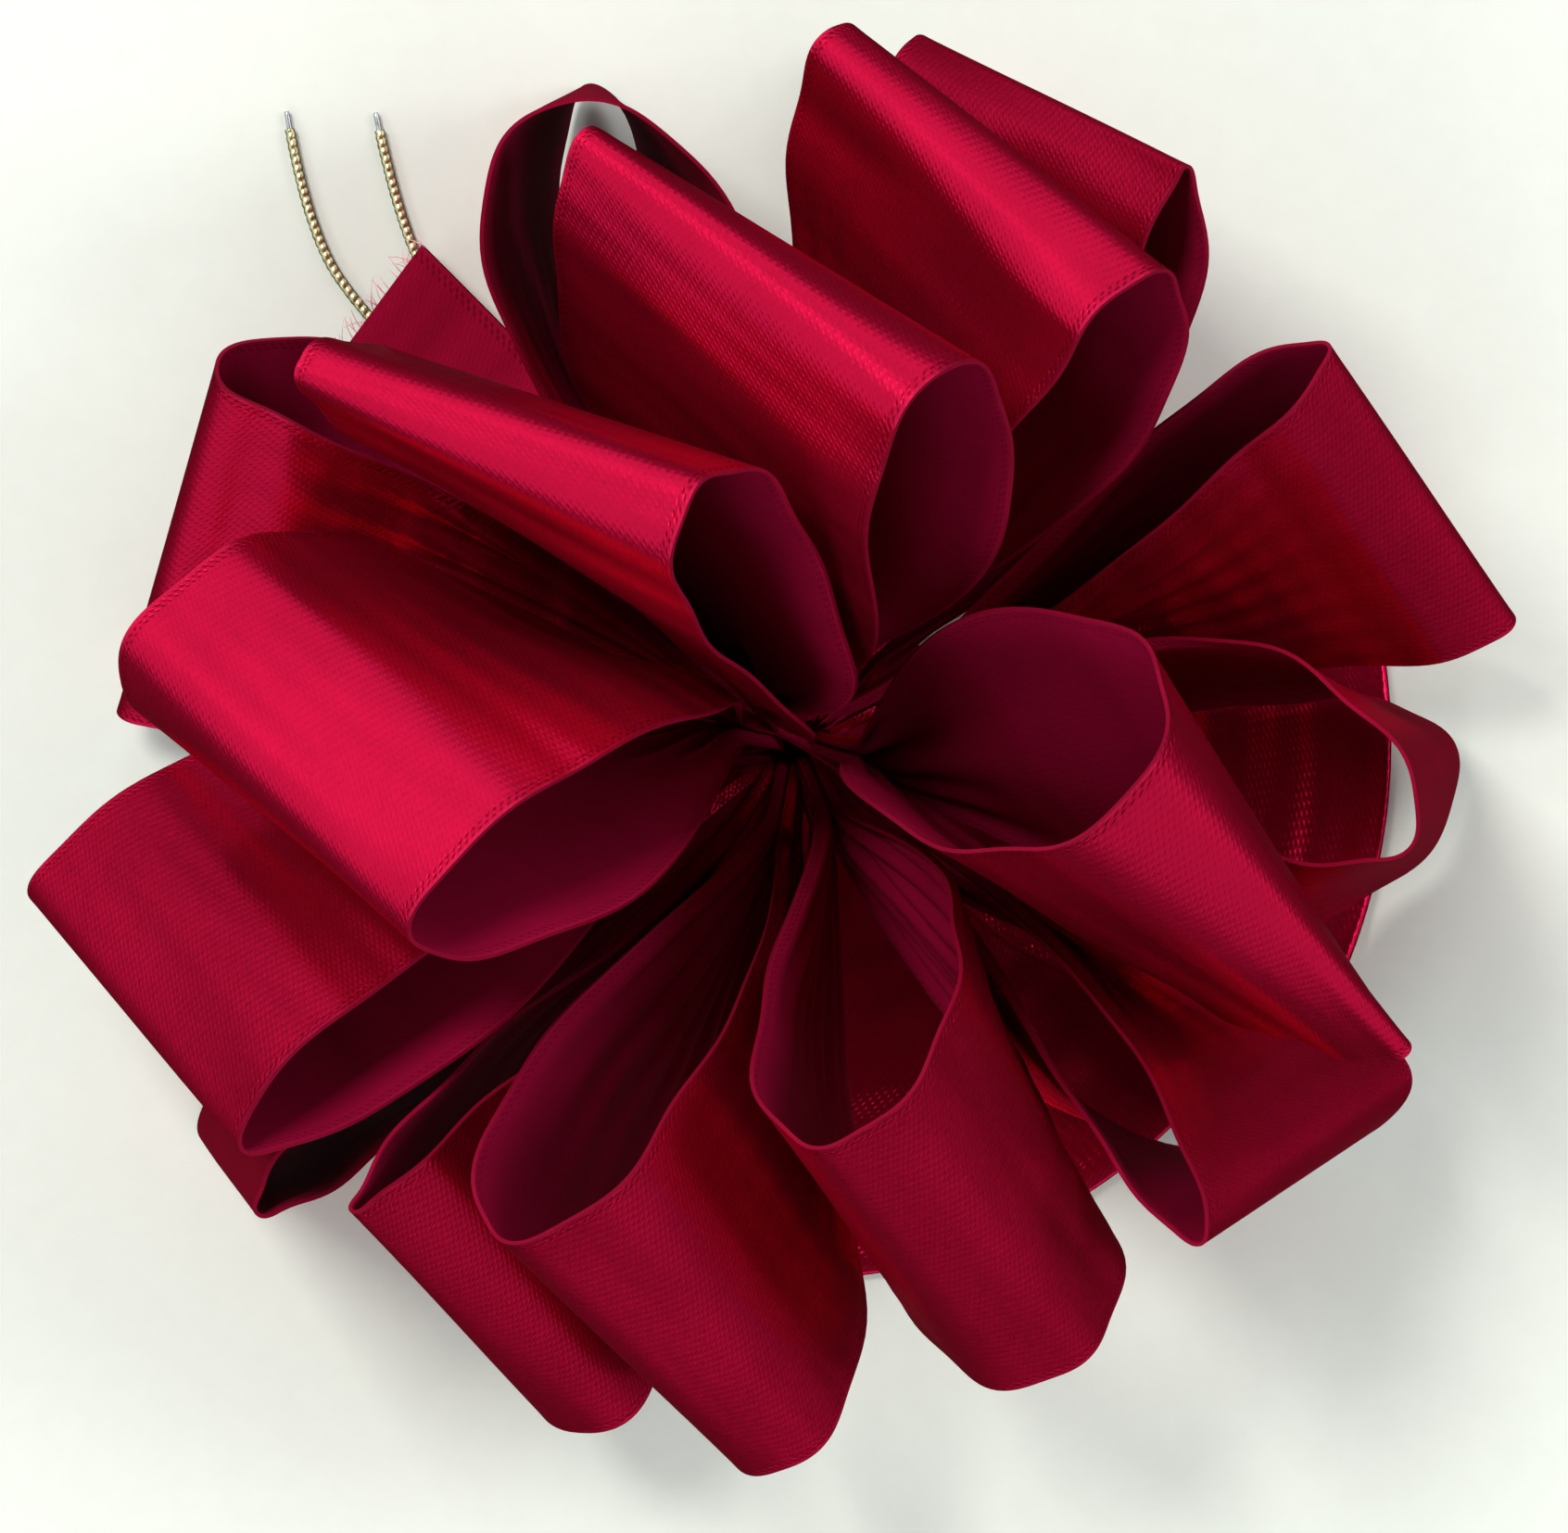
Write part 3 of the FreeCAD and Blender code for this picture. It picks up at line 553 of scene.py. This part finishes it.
for name, points in WIRE_TAILS.items():
    side = 1 if name.endswith("left") else -1
    first = (twist_start + twist_way * (TWIST_LENGTH + TWIST_TO_TAIL_GAP)
             + sideways * (side * TWIST_HALF_SPACING))
    line = route_line([tuple(first)] + points, name)
    sleeve, centre, length = tube_mesh(name + "_winding", line, SLEEVE_RADIUS, gold, WIND_PITCH, WIND_RIDGE)
    way = unit(centre[-1] - centre[-3])
    tip, _, _ = tube_mesh(name + "_steel_tip", np.array([centre[-1] - way * 1.0, centre[-1],
                                                         centre[-1] + way * CORE_STICKS_OUT]),
                          CORE_RADIUS, steel, sides=12, step=0.2)
    for piece, node, slot in ((sleeve, "_sleeve", "gold_wrap"), (tip, "_core", "steel_core")):
        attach(piece, name)
        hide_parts(name + node)

spin = np.linspace(0, 1, 70)
for k, name in enumerate(("tie_twist_strand_a", "tie_twist_strand_b")):
    angle = math.pi * k + 2 * math.pi * TWIST_LENGTH / TWIST_PITCH * (spin - 1)
    line = (twist_start + twist_way * (spin * TWIST_LENGTH)[:, None]
            + TWIST_HALF_SPACING * (np.cos(angle)[:, None] * sideways + np.sin(angle)[:, None] * upward))
    strand, _, _ = tube_mesh(name, line, SLEEVE_RADIUS, gold, WIND_PITCH, WIND_RIDGE)
    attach(strand, "waist")
    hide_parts("tie_twist")
TURNS, TURN_RADIUS, TURNS_BOTTOM, TURNS_RISE = 2.9, 4.07, 4.68, 1.78
spin = np.linspace(0, 1, 400)
angle = turn + 2 * math.pi * TURNS * spin
line = np.stack([TURN_RADIUS * np.cos(angle), TURN_RADIUS * np.sin(angle),
                 TURNS_BOTTOM + TURNS_RISE * spin], -1)
turns, _, _ = tube_mesh("tie_turns_winding", line, SLEEVE_RADIUS, gold, WIND_PITCH, WIND_RIDGE)
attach(turns, "waist")
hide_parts("tie_turns")


# ------------------------------------------------------------------ pleated cut end
# radius, height of the top layer's middle, width, azimuth of its run
TAIL_STATIONS = ((7.5, 8.8, 3.0, 134.5), (16.0, 6.7, 7.5, 134.5), (26.0, 4.6, 11.0, 136.0),
                 (36.0, 3.6, 12.7, 139.0), (47.0, 3.5, 12.7, 143.5))
TAIL_LAYER_PITCH = 0.8


def tail_surface(rows=70, columns=73):
    """The tail's middle surface in mm: three layers joined by two round folds, from the waist to the cut."""
    knots = np.linspace(0, 1, len(TAIL_STATIONS))
    places = np.linspace(0, 1, rows)
    columns_of = [np.interp(places, knots, [s[k] for s in TAIL_STATIONS]) for k in range(4)]
    radius, height, width, azimuth = columns_of
    across = np.linspace(0, 1, columns)
    grid = np.zeros((rows, columns, 3))
    for i in range(rows):
        facing = math.radians(azimuth[i])
        base = np.array([math.cos(turn) * radius[i], math.sin(turn) * radius[i], height[i]])
        level = np.array([-math.sin(facing), math.cos(facing), 0])
        half, r = width[i] / 2, TAIL_LAYER_PITCH / 2
        flat = 2 * half - 2 * r
        total = 3 * flat + 2 * math.pi * r
        for j, w in enumerate(across):
            d = w * total
            if d < flat + r:
                x, z = -half + d, 0.0
            elif d < flat + r + math.pi * r:
                a = (d - flat - r) / r
                x, z = half - r + r * math.sin(a), -r + r * math.cos(a)
            elif d < 2 * flat + r + math.pi * r:
                x, z = half - r - (d - flat - r - math.pi * r), -2 * r
            elif d < 2 * flat + r + 2 * math.pi * r:
                a = (d - 2 * flat - r - math.pi * r) / r
                x, z = -half + r - r * math.sin(a), -3 * r + r * math.cos(a)
            else:
                x, z = -half + r + (d - 2 * flat - r - 2 * math.pi * r), -4 * r
            grid[i, j] = base + level * x + np.array([0, 0, z])
    return grid


tail_grid = tail_surface()
tail, tail_length = ribbon_mesh("ribbon_tail_pleats", tail_grid, RIBBON_THICKNESS, 1,
                                (edge_satin, face_satin, edge_satin))
# threads pulled loose along the cut, bent over towards the table
THREADS, THREAD_RINGS, THREAD_SIDES, THREAD_RADIUS = 46, 6, 4, 0.055
FRAYED_POINTS = 24           # points of the cut, from its first corner, that threads come out of
rng = np.random.default_rng(7)
cut, last_run = tail_grid[-1], tail_grid[-1] - tail_grid[-4]
outward = unit(last_run.mean(axis=0))
along_cut = unit(cut[20] - cut[2])
verts, faces = [], []
for k in range(THREADS):
    start = cut[int(rng.integers(0, FRAYED_POINTS))] - outward * 0.3
    lean, reach, drop = rng.normal(0, 0.55), rng.uniform(0.5, 1.9), rng.uniform(-0.1, 0.9)
    for ring in range(THREAD_RINGS):
        t = ring / (THREAD_RINGS - 1)
        centre = start + (outward + along_cut * lean * t) * reach * t - np.array([0, 0, drop * t * t])
        for corner in range(THREAD_SIDES):
            angle = 2 * math.pi / THREAD_SIDES * corner
            spoke = along_cut * math.cos(angle) + np.array([0, 0, math.sin(angle)])
            verts.append(centre + THREAD_RADIUS * (1 - 0.5 * t) * spoke)
    first = k * THREAD_RINGS * THREAD_SIDES
    for ring in range(THREAD_RINGS - 1):
        low = first + THREAD_SIDES * ring
        high = low + THREAD_SIDES
        for c in range(THREAD_SIDES):
            after = (c + 1) % THREAD_SIDES
            faces.append((low + c, low + after, high + after, high + c))
    last = first + THREAD_SIDES * (THREAD_RINGS - 1)
    faces += [tuple(first + c for c in (3, 2, 1, 0)), tuple(last + c for c in (0, 1, 2, 3))]
mesh = bpy.data.meshes.new("ribbon_tail_fray")
mesh.from_pydata((np.array(verts) * MM).tolist(), [], faces)
loose, tree, shader = node_material("cut_threads")
places = tree.nodes.new("ShaderNodeTexCoord")
link(tree, ramp(tree, noise(tree, places.outputs["Object"], 900, 3, 0.6),
                [(0.3, (0.42, 0.06, 0.10)), (0.5, (0.72, 0.28, 0.32)), (0.7, (0.85, 0.50, 0.50))]),
     shader.inputs["Base Color"])
shader.inputs["Roughness"].default_value = 0.6
mesh.materials.append(loose)
mesh.update()
fray = bpy.data.objects.new("ribbon_tail_fray", mesh)
bpy.context.scene.collection.objects.link(fray)
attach(fray, "ribbon_tail")
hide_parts("ribbon_tail")
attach(tail, "ribbon_tail")
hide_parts("ribbon_tail")

# ------------------------------------------------------------------ floor, light, camera
floor_mesh = bpy.data.meshes.new("floor")
floor_mesh.from_pydata([(-1.5, -1.5, 0), (1.5, -1.5, 0), (1.5, 1.5, 0), (-1.5, 1.5, 0)], [], [(0, 1, 2, 3)])
floor = bpy.data.objects.new("floor", floor_mesh)
bpy.context.scene.collection.objects.link(floor)
paper, tree, shader = node_material("pale_paper")
coordinates = tree.nodes.new("ShaderNodeTexCoord")
grain = noise(tree, coordinates.outputs["Object"], 420, 4, 0.6)
link(tree, ramp(tree, grain, [(0.3, (0.71, 0.74, 0.67)), (0.5, (0.72, 0.75, 0.68)),
                              (0.7, (0.73, 0.76, 0.69))]), shader.inputs["Base Color"])
shader.inputs["Roughness"].default_value = 0.9
floor_mesh.materials.append(paper)
floor.visible_glossy = False          # the satin mirrors the room, not the paper under it


def area_light(name, place, target, size, power, color):
    data = bpy.data.lights.new(name, "AREA")
    data.shape, data.size, data.size_y = "RECTANGLE", size[0], size[1]
    data.energy, data.color = power, color
    obj = bpy.data.objects.new(name, data)
    obj.location = place
    obj.rotation_euler = (Vector(target) - Vector(place)).to_track_quat("-Z", "Y").to_euler()
    bpy.context.scene.collection.objects.link(obj)


area_light("key", (-0.54, 0.56, 1.20), (0, 0, 0.02), (0.45, 0.45), 13.5, (1, 0.98, 0.95))
area_light("right", (1.05, 0.15, 0.95), (0, 0, 0.02), (0.35, 0.50), 5.5, (0.97, 0.99, 1))
area_light("front", (-0.30, -1.15, 0.90), (0, 0, 0.02), (0.60, 0.30), 3.5, (0.97, 0.99, 1))
# a dim room with two bright bands round it, windows and a pale cornice, brightest to the left and behind
# the windows' band starts just over the horizon, so that a level view has a pale background
world = bpy.data.worlds.new("studio")
world.use_nodes = True
tree = world.node_tree
direction = tree.nodes.new("ShaderNodeTexCoord")
parts = tree.nodes.new("ShaderNodeSeparateXYZ")
link(tree, direction.outputs["Generated"], parts.inputs[0])
WINDOWS = ((0.0, 0.0), (0.001, 0.9), (0.05, 1.1), (0.17, 1.1), (0.22, 0.03), (0.44, 0.03), (0.50, 0.95),
           (0.64, 0.95), (0.72, 0.0))
windows = ramp(tree, parts.outputs[2], [(height, (level, level, level)) for height, level in WINDOWS])
side = math_node(tree, "MULTIPLY_ADD", parts.outputs[0], -0.6,
                 math_node(tree, "MULTIPLY", parts.outputs[1], 0.8))
strength = math_node(tree, "MULTIPLY", windows, math_node(tree, "MULTIPLY_ADD", side, 0.45, 2.3))
background = tree.nodes["Background"]
background.inputs[0].default_value = (0.96, 1.0, 1.04, 1)
link(tree, math_node(tree, "ADD", strength, 0.06), background.inputs[1])
bpy.context.scene.world = world
bpy.context.scene.view_settings.view_transform = "Standard"

camera_data = bpy.data.cameras.new("camera")
SENSOR, CAMERA_HEIGHT, FRAME_WIDTH = 36.0, 600, 122.6      # all mm; the frame's width is at the table
camera_data.sensor_width, camera_data.lens = SENSOR, SENSOR * CAMERA_HEIGHT / FRAME_WIDTH
camera_data.clip_start, camera_data.clip_end = 0.05, 20
camera = bpy.data.objects.new("camera", camera_data)
camera.location = (-0.00099, -0.0019, 0.600)
bpy.context.scene.collection.objects.link(camera)
bpy.context.scene.camera = camera
